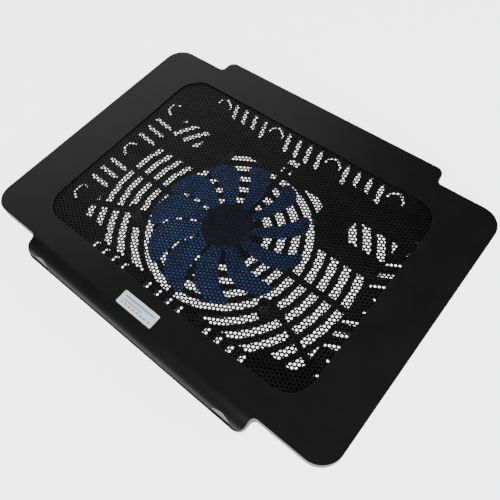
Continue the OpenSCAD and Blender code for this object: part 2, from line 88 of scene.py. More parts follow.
class Graph:
    """A node tree while it is being wired up."""

    def __init__(self, tree: bpy.types.NodeTree) -> None:
        """Starts from an existing tree.

        Args:
            tree: the material's or the group's node tree.
        """
        self.tree = tree

    def add(self, kind: str, inputs: dict | None = None, **settings: object) -> bpy.types.Node:
        """Adds a node.

        Args:
            kind: the node's type, such as ShaderNodeMath.
            inputs: socket names or numbers, each with a value or with the socket that feeds it.
            settings: the node's own properties.

        Returns:
            The new node.
        """
        node = self.tree.nodes.new(kind)
        for key, value in settings.items():
            setattr(node, key, value)
        for key, value in (inputs or {}).items():
            self.feed(node, key, value)
        return node

    def feed(self, node: bpy.types.Node, key: str | int, value: object) -> None:
        """Sets or links one input of a node.

        Args:
            node: the node.
            key: the input's name or number.
            value: its value, or the socket that feeds it.
        """
        if isinstance(value, bpy.types.NodeSocket):
            self.tree.links.new(value, node.inputs[key])
        else:
            node.inputs[key].default_value = value

    def math(self, operation: str, *values: object) -> bpy.types.NodeSocket:
        """Adds a Math node and returns its result."""
        node = self.add("ShaderNodeMath", dict(enumerate(values)), operation=operation)
        return node.outputs[0]

    def ramp(self, value: bpy.types.NodeSocket, low: float, high: float,
             out_low: float = 0.0, out_high: float = 1.0) -> bpy.types.NodeSocket:
        """Maps a range of values to another range, with clamped ends.

        Args:
            value: the socket to map.
            low: the value that gives out_low.
            high: the value that gives out_high.
            out_low: the result at the low end.
            out_high: the result at the high end.

        Returns:
            The mapped socket.
        """
        inputs = {"Value": value, "From Min": low, "From Max": high,
                  "To Min": out_low, "To Max": out_high}
        return self.add("ShaderNodeMapRange", inputs).outputs[0]

    def blend(self, share: object, first: object, second: object) -> bpy.types.NodeSocket:
        """Mixes two colours.

        Args:
            share: how much of the second colour there is, from 0 to 1.
            first: the first colour.
            second: the second colour.

        Returns:
            The mixed colour.
        """
        node = self.add("ShaderNodeMix", data_type="RGBA")
        for key, value in ((0, share), (6, first), (7, second)):
            self.feed(node, key, (*value, 1.0) if isinstance(value, tuple) else value)
        return node.outputs[2]

    def noise(self, coordinates: bpy.types.NodeSocket, scale: object, detail: float = 3.0,
              roughness: float = 0.5) -> bpy.types.NodeSocket:
        """Adds a noise texture.

        Args:
            coordinates: where it is read.
            scale: how many bumps there are in a metre.
            detail: how many finer layers lie on it.
            roughness: how strong the finer layers are.

        Returns:
            Its value, from 0 to 1.
        """
        inputs = {"Vector": coordinates, "Scale": scale, "Detail": detail, "Roughness": roughness}
        return self.add("ShaderNodeTexNoise", inputs).outputs[0]

    def stretched(self, scale: tuple[float, float, float]) -> bpy.types.NodeSocket:
        """Adds object coordinates that are stretched along the axes."""
        place = self.add("ShaderNodeTexCoord").outputs["Object"]
        return self.add("ShaderNodeMapping", {"Vector": place, "Scale": scale}).outputs[0]


@dataclass(frozen=True)
class Effect:
    """A shader node group that several finishes share.

    Attributes:
        name: the group's name.
        inputs: its inputs, each with a default value.
        outputs: its outputs.
    """

    name: str
    inputs: tuple[tuple[str, float], ...]
    outputs: tuple[str, ...]

    def wire(self, graph: Graph, entry: bpy.types.Node) -> list[bpy.types.NodeSocket]:
        """Adds the group's nodes.

        Args:
            graph: the group's tree.
            entry: the group's input node.

        Returns:
            The sockets for the outputs, in order.
        """
        raise NotImplementedError

    def group(self) -> bpy.types.NodeTree:
        """Makes the group, or finds it if it is made already."""
        tree = bpy.data.node_groups.get(self.name)
        if tree:
            return tree
        tree = bpy.data.node_groups.new(self.name, "ShaderNodeTree")
        for name, value in self.inputs:
            socket = tree.interface.new_socket(name, in_out="INPUT", socket_type="NodeSocketFloat")
            socket.default_value = value
        for name in self.outputs:
            tree.interface.new_socket(name, in_out="OUTPUT", socket_type="NodeSocketFloat")
        graph = Graph(tree)
        results = self.wire(graph, graph.add("NodeGroupInput"))
        leave = graph.add("NodeGroupOutput")
        for key, socket in enumerate(results):
            graph.feed(leave, key, socket)
        return tree

    def place(self, graph: Graph, **values: float) -> bpy.types.Node:
        """Places the group in a material.

        Args:
            graph: the material's tree.
            values: input names in lower case, with this material's values.

        Returns:
            The group's node.
        """
        node = graph.add("ShaderNodeGroup", node_tree=self.group())
        for name, value in values.items():
            node.inputs[name.title()].default_value = value
        return node


@dataclass(frozen=True)
class MouldGrain(Effect):
    """Fine spark-eroded grain of a mould, with slow mottling of the colour."""

    name: str = "mould_grain"
    inputs: tuple[tuple[str, float], ...] = (("Scale", 1500.0), ("Mottle", 18.0))
    outputs: tuple[str, ...] = ("Height", "Patches")

    def wire(self, graph: Graph, entry: bpy.types.Node) -> list[bpy.types.NodeSocket]:
        """Adds pits from cells and noise, and large soft patches."""
        place = graph.add("ShaderNodeTexCoord").outputs["Object"]
        cells = graph.add("ShaderNodeTexVoronoi", {"Vector": place, "Scale": entry.outputs[0]})
        rough = graph.noise(place, entry.outputs[0], 2.0, 0.6)
        height = graph.math("ADD", graph.math("MULTIPLY", cells.outputs["Distance"], 0.6), rough)
        patches = graph.noise(place, entry.outputs[1], 5.0, 0.6)
        return [height, graph.ramp(patches, 0.35, 0.7)]


@dataclass(frozen=True)
class EdgeWear(Effect):
    """Polish and scuffing where edges stand out."""

    name: str = "edge_wear"
    inputs: tuple[tuple[str, float], ...] = (("Amount", 0.5), ("Scale", 240.0))
    outputs: tuple[str, ...] = ("Mask",)

    def wire(self, graph: Graph, entry: bpy.types.Node) -> list[bpy.types.NodeSocket]:
        """Adds a mask of the places close to an edge, broken up by noise."""
        flat = graph.add("ShaderNodeNewGeometry").outputs["Normal"]
        near = graph.add("ShaderNodeBevel", {"Radius": 0.7 * MM}, samples=4).outputs["Normal"]
        agree = graph.add("ShaderNodeVectorMath", {0: flat, 1: near}, operation="DOT_PRODUCT")
        edges = graph.ramp(agree.outputs["Value"], 0.98, 0.8)
        place = graph.add("ShaderNodeTexCoord").outputs["Object"]
        broken = graph.ramp(graph.noise(place, entry.outputs[1], 4.0), 0.4, 0.62)
        worn = graph.math("MULTIPLY", edges, broken)
        return [graph.math("MULTIPLY", worn, entry.outputs[0])]


@dataclass(frozen=True)
class SettledDust(Effect):
    """Thin dust on faces that look up."""

    name: str = "settled_dust"
    inputs: tuple[tuple[str, float], ...] = (("Amount", 0.3), ("Scale", 60.0))
    outputs: tuple[str, ...] = ("Mask",)

    def wire(self, graph: Graph, entry: bpy.types.Node) -> list[bpy.types.NodeSocket]:
        """Adds patchy specks where the surface faces up."""
        normal = graph.add("ShaderNodeNewGeometry").outputs["Normal"]
        up = graph.add("ShaderNodeSeparateXYZ", {"Vector": normal}).outputs["Z"]
        place = graph.add("ShaderNodeTexCoord").outputs["Object"]
        patches = graph.ramp(graph.noise(place, entry.outputs[1], 6.0, 0.65), 0.42, 0.75)
        specks = graph.ramp(graph.noise(place, 2600.0, 1.0), 0.62, 0.78)
        dust = graph.math("MAXIMUM", graph.math("MULTIPLY", patches, 0.35), specks)
        lying = graph.math("MULTIPLY", dust, graph.ramp(up, 0.35, 0.95))
        return [graph.math("MULTIPLY", lying, entry.outputs[0])]


@dataclass(frozen=True)
class HandlingMarks(Effect):
    """Smears and rubbed places that change how shiny a surface is."""

    name: str = "handling_marks"
    inputs: tuple[tuple[str, float], ...] = (("Low", 0.35), ("High", 0.5), ("Scale", 26.0))
    outputs: tuple[str, ...] = ("Roughness",)

    def wire(self, graph: Graph, entry: bpy.types.Node) -> list[bpy.types.NodeSocket]:
        """Adds a roughness between Low and High that follows stretched noise."""
        place = graph.stretched((1.0, 2.2, 1.0))
        smears = graph.ramp(graph.noise(place, entry.outputs[2], 5.0, 0.62), 0.35, 0.68)
        span = graph.math("SUBTRACT", entry.outputs[1], entry.outputs[0])
        return [graph.math("ADD", entry.outputs[0], graph.math("MULTIPLY", smears, span))]


# --------------------------------------------------------------------------------------------------
# Finishes
# --------------------------------------------------------------------------------------------------


@dataclass(frozen=True)
class Finish:
    """What a surface is made of. Each kind of finish adds its own nodes.

    Attributes:
        name: the material's name.
        slot: the record's material slot; not used.
        colour: the main colour.
        rough: the lowest and the highest roughness.
        grain: how many grains there are in a metre.
        depth: how high the grain stands.
    """

    name: str
    slot: str
    colour: Colour
    rough: tuple[float, float] = (0.4, 0.5)
    grain: float = 1500.0
    depth: float = 0.02 * MM

    def material(self) -> bpy.types.Material:
        """Makes the material, or finds it if it is made already."""
        name = f"{self.name}_finish"
        made = bpy.data.materials.get(name)
        if made:
            return made
        made = bpy.data.materials.new(name)
        made.use_nodes = True
        made.diffuse_color = (*self.colour, 1.0)
        graph = Graph(made.node_tree)
        self.wire(graph, made.node_tree.nodes["Principled BSDF"])
        return made

    def wire(self, graph: Graph, shader: bpy.types.Node) -> None:
        """Adds the finish's nodes.

        Args:
            graph: the material's tree.
            shader: its shader.
        """
        raise NotImplementedError

    def marks(self, graph: Graph, shader: bpy.types.Node, scale: float = 26.0) -> None:
        """Feeds the roughness from handling marks.

        Args:
            graph: the material's tree.
            shader: its shader.
            scale: how many marks there are in a metre.
        """
        marks = HandlingMarks().place(graph, low=self.rough[0], high=self.rough[1], scale=scale)
        graph.feed(shader, "Roughness", marks.outputs["Roughness"])

    def bump(self, graph: Graph, shader: bpy.types.Node, height: bpy.types.NodeSocket) -> None:
        """Feeds the normal from a height.

        Args:
            graph: the material's tree.
            shader: its shader.
            height: the height, from 0 to 1.
        """
        node = graph.add("ShaderNodeBump", {"Strength": 1.0, "Distance": self.depth, "Height": height})
        graph.feed(shader, "Normal", node.outputs["Normal"])


@dataclass(frozen=True)
class Moulded(Finish):
    """Moulded plastic or rubber with grain, wear and dust.

    Attributes:
        patch: the colour of the slow mottling.
        worn: the colour of rubbed edges.
        wear: how much the edges are rubbed.
        dust: how much dust lies on it.
        sheen: how much soft sheen it has.
        shine: how strongly it reflects.
    """

    patch: Colour = (0.03, 0.03, 0.032)
    worn: Colour = (0.09, 0.09, 0.095)
    wear: float = 0.5
    dust: float = 0.05
    sheen: float = 0.0
    shine: float = 0.5

    def wire(self, graph: Graph, shader: bpy.types.Node) -> None:
        """Mixes mottling, worn edges and dust over the main colour."""
        grain = MouldGrain().place(graph, scale=self.grain)
        wear = EdgeWear().place(graph, amount=self.wear)
        dust = SettledDust().place(graph, amount=self.dust)
        base = graph.blend(grain.outputs["Patches"], self.colour, self.patch)
        base = graph.blend(wear.outputs["Mask"], base, self.worn)
        base = graph.blend(dust.outputs["Mask"], base, DUST_COLOUR)
        graph.feed(shader, "Base Color", base)
        graph.feed(shader, "Sheen Weight", self.sheen)
        graph.feed(shader, "Specular IOR Level", self.shine)
        self.marks(graph, shader)
        self.bump(graph, shader, grain.outputs["Height"])


@dataclass(frozen=True)
class Tinted(Finish):
    """Clear moulded plastic with a deep tint.

    Attributes:
        deep: the colour where the plastic is thick or dark.
        clear: how much light passes through.
    """

    deep: Colour = (0.01, 0.02, 0.1)
    clear: float = 0.2

    def wire(self, graph: Graph, shader: bpy.types.Node) -> None:
        """Mixes two depths of the tint by flow marks, under a glossy skin."""
        flow = graph.noise(graph.stretched((1.0, 1.0, 3.0)), 42.0, 4.0, 0.55)
        dust = SettledDust().place(graph, amount=0.25, scale=90.0)
        base = graph.blend(graph.ramp(flow, 0.35, 0.7), self.deep, self.colour)
        base = graph.blend(dust.outputs["Mask"], base, DUST_COLOUR)
        graph.feed(shader, "Base Color", base)
        graph.feed(shader, "Transmission Weight", self.clear)
        graph.feed(shader, "IOR", 1.5)
        self.marks(graph, shader, 60.0)
        self.bump(graph, shader, flow)


@dataclass(frozen=True)
class Metal(Finish):
    """Bare or plated metal with fine lines along one way.

    Attributes:
        stretch: how the lines are stretched along the axes.
        tarnish: the colour of stained places.
    """

    stretch: tuple[float, float, float] = (1.0, 1.0, 12.0)
    tarnish: Colour = (0.2, 0.19, 0.18)

    def wire(self, graph: Graph, shader: bpy.types.Node) -> None:
        """Adds drawn lines, stains and worn edges to a metal."""
        lines = graph.noise(graph.stretched(self.stretch), self.grain, 3.0)
        stains = graph.noise(graph.stretched((1.0, 1.0, 1.0)), 220.0, 5.0, 0.6)
        wear = EdgeWear().place(graph, amount=0.6)
        base = graph.blend(graph.ramp(stains, 0.5, 0.8, 0.0, 0.5), self.colour, self.tarnish)
        base = graph.blend(wear.outputs["Mask"], base, tuple(min(1.0, c * 1.4) for c in self.colour))
        graph.feed(shader, "Base Color", base)
        graph.feed(shader, "Metallic", 1.0)
        self.marks(graph, shader, 300.0)
        self.bump(graph, shader, lines)


@dataclass(frozen=True)
class Wound(Finish):
    """Enamelled wire in close turns.

    Attributes:
        groove_shade: painted shade, the darker colour in the grooves between turns.
    """

    groove_shade: Colour = (0.12, 0.04, 0.02)

    def wire(self, graph: Graph, shader: bpy.types.Node) -> None:
        """Adds turns of wire as bands round the poles, with painted shade in the grooves between them."""
        place = graph.add("ShaderNodeTexCoord").outputs["Object"]
        turns = graph.add("ShaderNodeTexWave", {"Vector": place, "Scale": self.grain, "Distortion": 0.6},
                          wave_type="RINGS", rings_direction="Z", wave_profile="SIN").outputs[1]
        # painted shade: the grooves between turns take the dark groove colour
        graph.feed(shader, "Base Color", graph.blend(graph.ramp(turns, 0.1, 0.6), self.groove_shade, self.colour))
        graph.feed(shader, "Metallic", 0.75)
        self.marks(graph, shader, 500.0)
        self.bump(graph, shader, turns)


@dataclass(frozen=True)
class Laminate(Finish):
    """A lacquered circuit board with buried tracks.

    Attributes:
        track: the colour of the lacquer over copper.
    """

    track: Colour = (0.05, 0.36, 0.14)

    def wire(self, graph: Graph, shader: bpy.types.Node) -> None:
        """Adds square tracks that stand a little proud under the lacquer."""
        place = graph.add("ShaderNodeTexCoord").outputs["Object"]
        cells = graph.add("ShaderNodeTexVoronoi", {"Vector": place, "Scale": self.grain},
                          feature="F1", distance="CHEBYCHEV")
        tracks = graph.ramp(cells.outputs["Distance"], 0.32, 0.36)
        graph.feed(shader, "Base Color", graph.blend(tracks, self.track, self.colour))
        self.marks(graph, shader, 200.0)
        self.bump(graph, shader, graph.math("SUBTRACT", 1.0, tracks))


DUST_COLOUR: Colour = (0.42, 0.41, 0.39)


class Finishes(Enum):
    """Every finish on the pad."""

    FRAME = Moulded("frame_plastic", "frame_plastic", (0.006, 0.006, 0.0065), (0.31, 0.36), 2600.0,
                    0.008 * MM, patch=(0.008, 0.008, 0.0085), worn=(0.07, 0.07, 0.073), wear=0.8,
                    dust=0.012, shine=0.3)
    BASE = Moulded("base_plastic", "base_plastic", (0.004, 0.004, 0.0045), (0.42, 0.6), 1500.0,
                   0.03 * MM, patch=(0.006, 0.006, 0.0065), worn=(0.04, 0.04, 0.042), wear=0.4,
                   dust=0.03, shine=0.35)
    GRILLE = Moulded("grille_paint", "grille_steel", (0.002, 0.002, 0.0024), (0.34, 0.5), 1900.0,
                     0.02 * MM, patch=(0.003, 0.003, 0.0034), worn=(0.06, 0.06, 0.062), wear=0.1,
                     dust=0.012, shine=0.3)
    RUBBER = Moulded("foot_rubber", "foot_rubber", (0.018, 0.018, 0.018), (0.7, 0.9), 2200.0,
                     0.05 * MM, patch=(0.026, 0.026, 0.026), worn=(0.07, 0.07, 0.07), wear=0.5, dust=0.3,
                     sheen=0.15)
    SWITCH = Moulded("switch_plastic", "switch_plastic", (0.03, 0.03, 0.031), (0.4, 0.55), 3000.0,
                     0.01 * MM, patch=(0.036, 0.036, 0.037), worn=(0.12, 0.12, 0.12), wear=0.6, dust=0.05)
    CHIP = Moulded("chip_plastic", "chip_plastic", (0.02, 0.02, 0.022), (0.5, 0.65), 3500.0,
                   0.01 * MM, patch=(0.03, 0.03, 0.032), worn=(0.08, 0.08, 0.08), wear=0.3, dust=0.1)
    LEAD = Moulded("lead_vinyl", "lead_vinyl", (0.012, 0.012, 0.012), (0.4, 0.55), 1800.0,
                   0.02 * MM, patch=(0.02, 0.02, 0.02), worn=(0.05, 0.05, 0.05), wear=0.2, dust=0.1)
    NYLON = Moulded("insulator_nylon", "insulator_nylon", (0.62, 0.6, 0.5), (0.45, 0.6), 2600.0,
                    0.01 * MM, patch=(0.7, 0.68, 0.58), worn=(0.8, 0.78, 0.7), wear=0.3, dust=0.1)
    PAD_NYLON = Moulded("pad_nylon", "pad_nylon", (0.7, 0.69, 0.64), (0.4, 0.5), 2600.0,
                        0.01 * MM, patch=(0.76, 0.75, 0.7), worn=(0.85, 0.84, 0.8), wear=0.3, dust=0.05)
    TONGUE = Moulded("tongue_plastic", "tongue_plastic", (0.72, 0.72, 0.7), (0.35, 0.45), 2600.0,
                     0.01 * MM, patch=(0.76, 0.76, 0.74), worn=(0.85, 0.85, 0.83), wear=0.3, dust=0.05)
    LABEL = Moulded("label_vinyl", "label_vinyl", (0.88, 0.91, 0.94), (0.28, 0.4), 1200.0,
                    0.008 * MM, patch=(0.91, 0.93, 0.95), worn=(0.94, 0.95, 0.96), wear=0.3, dust=0.04)
    PRINT = Moulded("label_print", "label_vinyl", (0.16, 0.36, 0.62), (0.3, 0.42), 1200.0,
                    0.004 * MM, patch=(0.2, 0.42, 0.68), worn=(0.4, 0.55, 0.7), wear=0.2, dust=0.02)
    FAN = Tinted("fan_plastic", "fan_plastic", (0.12, 0.31, 0.95), (0.16, 0.3), 60.0, 0.02 * MM,
                 deep=(0.06, 0.18, 0.70), clear=0.1)
    HUB = Tinted("hub_plastic", "fan_plastic", (0.02, 0.024, 0.13), (0.22, 0.36), 60.0, 0.02 * MM,
                 deep=(0.012, 0.014, 0.09), clear=0.0)
    SILICONE = Tinted("clear_silicone", "clear_silicone", (0.42, 0.44, 0.46), (0.3, 0.45), 60.0, 0.02 * MM,
                      deep=(0.34, 0.36, 0.38), clear=0.5)
    SCREW = Metal("screw_steel", "screw_steel", (0.16, 0.16, 0.17), (0.3, 0.45), 3000.0, 0.006 * MM)
    CORE = Metal("core_steel", "core_steel", (0.42, 0.42, 0.44), (0.3, 0.45), 2500.0, 0.01 * MM)
    PIN = Metal("pin_steel", "pin_steel", (0.56, 0.56, 0.58), (0.2, 0.32), 3000.0, 0.004 * MM)
    SOCKET = Metal("socket_steel", "socket_steel", (0.68, 0.68, 0.69), (0.18, 0.3), 2600.0, 0.003 * MM,
                   stretch=(12.0, 1.0, 12.0), tarnish=(0.5, 0.5, 0.5))
    BRASS = Metal("bearing_brass", "bearing_brass", (0.72, 0.5, 0.2), (0.22, 0.35), 2600.0, 0.004 * MM,
                  tarnish=(0.35, 0.22, 0.09))
    BRONZE = Metal("bush_bronze", "bush_bronze", (0.45, 0.27, 0.12), (0.4, 0.55), 3500.0, 0.01 * MM,
                   tarnish=(0.25, 0.15, 0.08))
    CONTACT = Metal("contact_brass", "contact_brass", (0.85, 0.62, 0.22), (0.15, 0.25), 3000.0, 0.002 * MM,
                    tarnish=(0.6, 0.42, 0.16))
    MAGNET = Metal("magnet_ferrite", "magnet_ferrite", (0.1, 0.095, 0.09), (0.5, 0.65), 1600.0, 0.02 * MM,
                   tarnish=(0.05, 0.045, 0.04))
    COPPER = Wound("coil_copper", "coil_copper", (0.62, 0.24, 0.09), (0.25, 0.4), 700.0, 0.08 * MM)
    BOARD = Laminate("board_laminate", "board_laminate", (0.02, 0.17, 0.06), (0.25, 0.4), 420.0, 0.03 * MM)


# --------------------------------------------------------------------------------------------------
# Meshes
# --------------------------------------------------------------------------------------------------


def new_piece(name: str, mesh: bpy.types.Mesh, finish: Finishes, body: Body) -> bpy.types.Object:
    """Puts a mesh in the scene as a finished piece.

    Args:
        name: the piece's name.
        mesh: its mesh, in the row frame.
        finish: what it is made of.
        body: the body that it moves with.

    Returns:
        The new object.
    """
    piece = bpy.data.objects.new(name, mesh)
    bpy.context.scene.collection.objects.link(piece)
    piece.data.materials.clear()
    piece.data.materials.append(finish.value.material())
    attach(piece, body.value)
    return piece


def shade_smooth(mesh: bpy.types.Mesh, angle: float = 35.0) -> None:
    """Smooths a mesh, apart from its sharp edges.

    Args:
        mesh: the mesh.
        angle: edges sharper than this, in degrees, stay sharp.
    """
    mesh.polygons.foreach_set("use_smooth", [True] * len(mesh.polygons))
    work = bmesh.new()
    work.from_mesh(mesh)
    limit = math.radians(angle)
    for edge in work.edges:
        edge.smooth = not edge.is_manifold or edge.calc_face_angle(0.0) < limit
    work.to_mesh(mesh)
    work.free()


def mesh_of(name: str, points: Sequence[Sequence[float]], faces: Sequence[Sequence[int]],
            angle: float = 35.0) -> bpy.types.Mesh:
    """Makes a mesh from points and faces, with its faces turned outwards.

    Args:
        name: the mesh's name.
        points: its corners.
        faces: the corners of each face.
        angle: edges sharper than this, in degrees, stay sharp.

    Returns:
        The mesh.
    """
    mesh = bpy.data.meshes.new(name)
    mesh.from_pydata([tuple(p) for p in points], [], [tuple(f) for f in faces])
    work = bmesh.new()
    work.from_mesh(mesh)
    bmesh.ops.recalc_face_normals(work, faces=work.faces)
    work.to_mesh(mesh)
    work.free()
    shade_smooth(mesh, angle)
    return mesh


def arc(centre: Point, radius: float, start: float, end: float, steps: int) -> list[Point]:
    """Lays out points along an arc, its ends included.

    Args:
        centre: the arc's middle.
        radius: its radius.
        start: the first point's angle, in degrees.
        end: the last point's angle, in degrees.
        steps: the steps between them.

    Returns:
        The points.
    """
    angles = [math.radians(start + (end - start) * i / steps) for i in range(steps + 1)]
    return [(centre[0] + radius * math.cos(a), centre[1] + radius * math.sin(a)) for a in angles]


def rounded_plan(low: Sequence[float], high: Sequence[float], radius: float,
                 steps: int = 8) -> list[Point]:
    """Outline of a rectangle with round corners, anticlockwise.

    Args:
        low: the lowest x and y.
        high: the highest x and y.
        radius: the corners' radius.
        steps: the steps in each corner.

    Returns:
        The outline's points.
    """
    x0, y0, x1, y1 = low[0] + radius, low[1] + radius, high[0] - radius, high[1] - radius
    corners = ((x1, y1, 0), (x0, y1, 90), (x0, y0, 180), (x1, y0, 270))
    return [p for x, y, a in corners for p in arc((x, y), radius, a, a + 90, steps)]


def loft(name: str, loops: Sequence[Sequence[Sequence[float]]], angle: float = 35.0,
         capped: bool = True) -> bpy.types.Mesh:
    """Makes a skin over loops of the same number of points.

    Args:
        name: the mesh's name.
        loops: the loops, in order along the piece.
        angle: edges sharper than this, in degrees, stay sharp.
        capped: whether the first and the last loop are closed by a face. If not, they are joined.

    Returns:
        The mesh.
    """
    count = len(loops[0])
    points = [p for loop in loops for p in loop]
    faces = []
    for i in range(len(loops) - (1 if capped else 0)):
        a, b = i * count, (i + 1) % len(loops) * count
        faces += [(a + k, a + (k + 1) % count, b + (k + 1) % count, b + k) for k in range(count)]
    if capped:
        faces += [tuple(range(count))[::-1], tuple(range((len(loops) - 1) * count, len(loops) * count))]
    return mesh_of(name, points, faces, angle)


def joined(name: str, meshes: Iterable[bpy.types.Mesh]) -> bpy.types.Mesh:
    """Puts several meshes into one.

    Args:
        name: the new mesh's name.
        meshes: the meshes, which are used up.

    Returns:
        The new mesh.
    """
    work = bmesh.new()
    for mesh in meshes:
        work.from_mesh(mesh)
        bpy.data.meshes.remove(mesh)
    whole = bpy.data.meshes.new(name)
    work.to_mesh(whole)
    work.free()
    return whole


@dataclass(frozen=True)
class SoftCopy:
    """A copy of a CAD node with its hard edges rounded.

    Attributes:
        node: the CAD node.
        finish: what it is made of.
        body: the body that it moves with.
        radius: how wide the rounding is.
        steps: how many strips the rounding has.
        angle: edges sharper than this, in degrees, are rounded.
    """

    node: str
    finish: Finishes
    body: Body
    radius: float = 0.4 * MM
    steps: int = 2
    angle: float = 30.0

    def build(self) -> bpy.types.Object:
        """Makes the copy and puts it in the node's place."""
        mesh = frame["nodes"][self.node].data.copy()
        work = bmesh.new()
        work.from_mesh(mesh)
        bmesh.ops.remove_doubles(work, verts=work.verts, dist=0.002 * MM)
        bmesh.ops.dissolve_limit(work, angle_limit=math.radians(0.4), verts=work.verts,
                                 edges=work.edges, delimit=set())
        for face in work.faces:
            face.smooth = True
        work.to_mesh(mesh)
        work.free()
        mesh.name = f"{self.node}_soft"
        piece = new_piece(f"{self.node}_soft", mesh, self.finish, self.body)
        bevel = piece.modifiers.new("rounding", "BEVEL")
        bevel.width = self.radius
        bevel.segments = self.steps
        bevel.limit_method = "ANGLE"
        bevel.angle_limit = math.radians(self.angle)
        flatten = piece.modifiers.new("flat_faces", "WEIGHTED_NORMAL")
        flatten.mode = "FACE_AREA"
        flatten.weight = 100
        flatten.keep_sharp = True
        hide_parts(self.node)
        log.info("%s: edges rounded to %.2f mm", self.node, self.radius / MM)
        return piece


@dataclass(frozen=True)
class Carried:
    """A CAD node that is shown as it is, in a better finish.

    Attributes:
        node: the CAD node.
        finish: what it is made of.
    """

    node: str
    finish: Finishes

    def build(self) -> None:
        """Gives the node its finish."""
        piece = frame["nodes"][self.node]
        for slot in piece.material_slots:
            slot.link = "OBJECT"
            slot.material = self.finish.value.material()
        log.info("%s: %s", self.node, self.finish.value.name)


# --------------------------------------------------------------------------------------------------
# Sub-assemblies
# --------------------------------------------------------------------------------------------------


@dataclass
class Grille:
    """The perforated steel sheet under the window's edge.

    Attributes:
        node: the CAD node that it stands for.
        pitch: the distance between holes.
        web: the steel left between two holes.
        corner: the sheet's corner radius.
        border: the plain steel outside the holes.
        half: half of the sheet's width and depth, read from the CAD.
    """

    node: str = "mesh_grille"
    pitch: float = 3.1 * MM
    web: float = 1.2 * MM
    corner: float = 26.0 * MM
    border: float = 3.4 * MM
    half: Point = (0.0, 0.0)

    def inside(self, x: float, y: float, shrink: float) -> bool:
        """Tells whether a point lies well inside the sheet.

        Args:
            x: the point's x.
            y: the point's y.
            shrink: how far inside the sheet's edge it has to be.

        Returns:
            True if it does.
        """
        radius = self.corner - shrink
        dx = abs(x) - (self.half[0] - shrink - radius)
        dy = abs(y) - (self.half[1] - shrink - radius)
        return max(dx, dy) <= 0 or math.hypot(max(dx, 0.0), max(dy, 0.0)) <= radius

    def cells(self) -> tuple[set[tuple[int, int]], set[tuple[int, int]]]:
        """Lays out the holes.

        Returns:
            The columns and rows of the holes, and of the blank places round them.
        """
        column = self.pitch * math.sqrt(3) / 2
        wide = int(self.half[0] / column) + 1
        deep = int(self.half[1] / self.pitch) + wide
        open_cells = {(i, j) for i in range(-wide, wide + 1) for j in range(-deep, deep + 1)
                      if self.inside(*self.centre(i, j), self.border)}
        ring = {(i + a, j + b) for i, j in open_cells for a, b in self.neighbours()} - open_cells
        return open_cells, ring

    def centre(self, i: int, j: int) -> Point:
        """The middle of a cell. Cells stand in columns, and j counts along a slanted row."""
        return i * self.pitch * math.sqrt(3) / 2, (j + i / 2) * self.pitch

    @staticmethod
    def neighbours() -> list[tuple[int, int]]:
        """The six cells round a cell, anticlockwise from the one at 30 degrees."""
        return [(1, 0), (0, 1), (-1, 1), (-1, 0), (0, -1), (1, -1)]

    def build(self) -> bpy.types.Object:
        """Makes the sheet: webs, corners, blanks, border and the walls of the holes."""
        low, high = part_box(self.node)
        self.half = (high.x, high.y)
        open_cells, ring = self.cells()
        cells = open_cells | ring
        corner_r = (self.pitch - self.web) / math.sqrt(3)
        work = bmesh.new()
        rims = {}
        for i, j in sorted(cells):
            x, y = self.centre(i, j)
            rims[i, j] = [work.verts.new((x + corner_r * math.cos(math.radians(60 * k)),
                                          y + corner_r * math.sin(math.radians(60 * k)), high.z))
                          for k in range(6)]
        around = self.neighbours()
        for (i, j), rim in rims.items():
            for k in range(3):
                near = rims.get((i + around[k][0], j + around[k][1]))
                if near:
                    work.faces.new((rim[k], near[(k + 4) % 6], near[(k + 3) % 6], rim[(k + 1) % 6]))
            for k in range(2):
                near = rims.get((i + around[k][0], j + around[k][1]))
                far = rims.get((i + around[k + 1][0], j + around[k + 1][1]))
                if near and far:
                    work.faces.new((rim[k + 1], near[(k + 3) % 6], far[(k + 5) % 6]))
        for cell in ring:
            work.faces.new(rims[cell])
        holes = {vert for cell in open_cells for vert in rims[cell]}
        jagged = [e for e in work.edges if e.is_boundary and not holes.issuperset(e.verts)]
        self.add_border(work, jagged, low, high)
        self.thicken(work, high.z - low.z)
        mesh = bpy.data.meshes.new("grille_sheet")
        work.to_mesh(mesh)
        work.free()
        piece = new_piece("grille_sheet", mesh, Finishes.GRILLE, Body.PAD)
        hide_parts(self.node)
        log.info("grille: %d holes, %d faces", len(open_cells), len(mesh.polygons))
        return piece

    def add_border(self, work: bmesh.types.BMesh, jagged: list[bmesh.types.BMEdge],
                   low: Vector, high: Vector) -> None:
        """Fills from the outermost cells to the sheet's edge.

        Args:
            work: the sheet so far.
            jagged: the edges round the outermost cells.
            low: the sheet's lowest corner.
            high: the sheet's highest corner.
        """
        after = {}
        for edge in jagged:
            loop = edge.link_loops[0]
            after[loop.link_loop_next.vert] = loop.vert
        start = next(iter(after))
        inner = [start]
        while after[inner[-1]] is not start:
            inner.append(after[inner[-1]])
        outer = [work.verts.new((x, y, high.z)) for x, y in rounded_plan(low, high, self.corner, 12)]
        every = outer + inner
        for triangle in tessellate_polygon([[v.co for v in outer], [v.co for v in inner]]):
            work.faces.new([every[k] for k in triangle])

    @staticmethod
    def thicken(work: bmesh.types.BMesh, depth: float) -> None:
        """Gives the flat sheet its underside and the walls of its holes and edge.

        Args:
            work: the sheet's upper face.
            depth: how thick the sheet is.
        """
        bmesh.ops.recalc_face_normals(work, faces=work.faces)
        if sum(face.normal.z for face in work.faces) < 0:
            bmesh.ops.reverse_faces(work, faces=work.faces)
        rims = [e for e in work.edges if e.is_boundary]
        under = bmesh.ops.duplicate(work, geom=list(work.faces))
        twin = under["vert_map"]
        bottoms = [g for g in under["geom"] if isinstance(g, bmesh.types.BMFace)]
        bmesh.ops.translate(work, vec=(0, 0, -depth), verts=list({v for f in bottoms for v in f.verts}))
        bmesh.ops.reverse_faces(work, faces=bottoms)
        for edge in rims:
            loop = edge.link_loops[0]
            a, b = loop.vert, loop.link_loop_next.vert
            work.faces.new((b, a, twin[a], twin[b]))


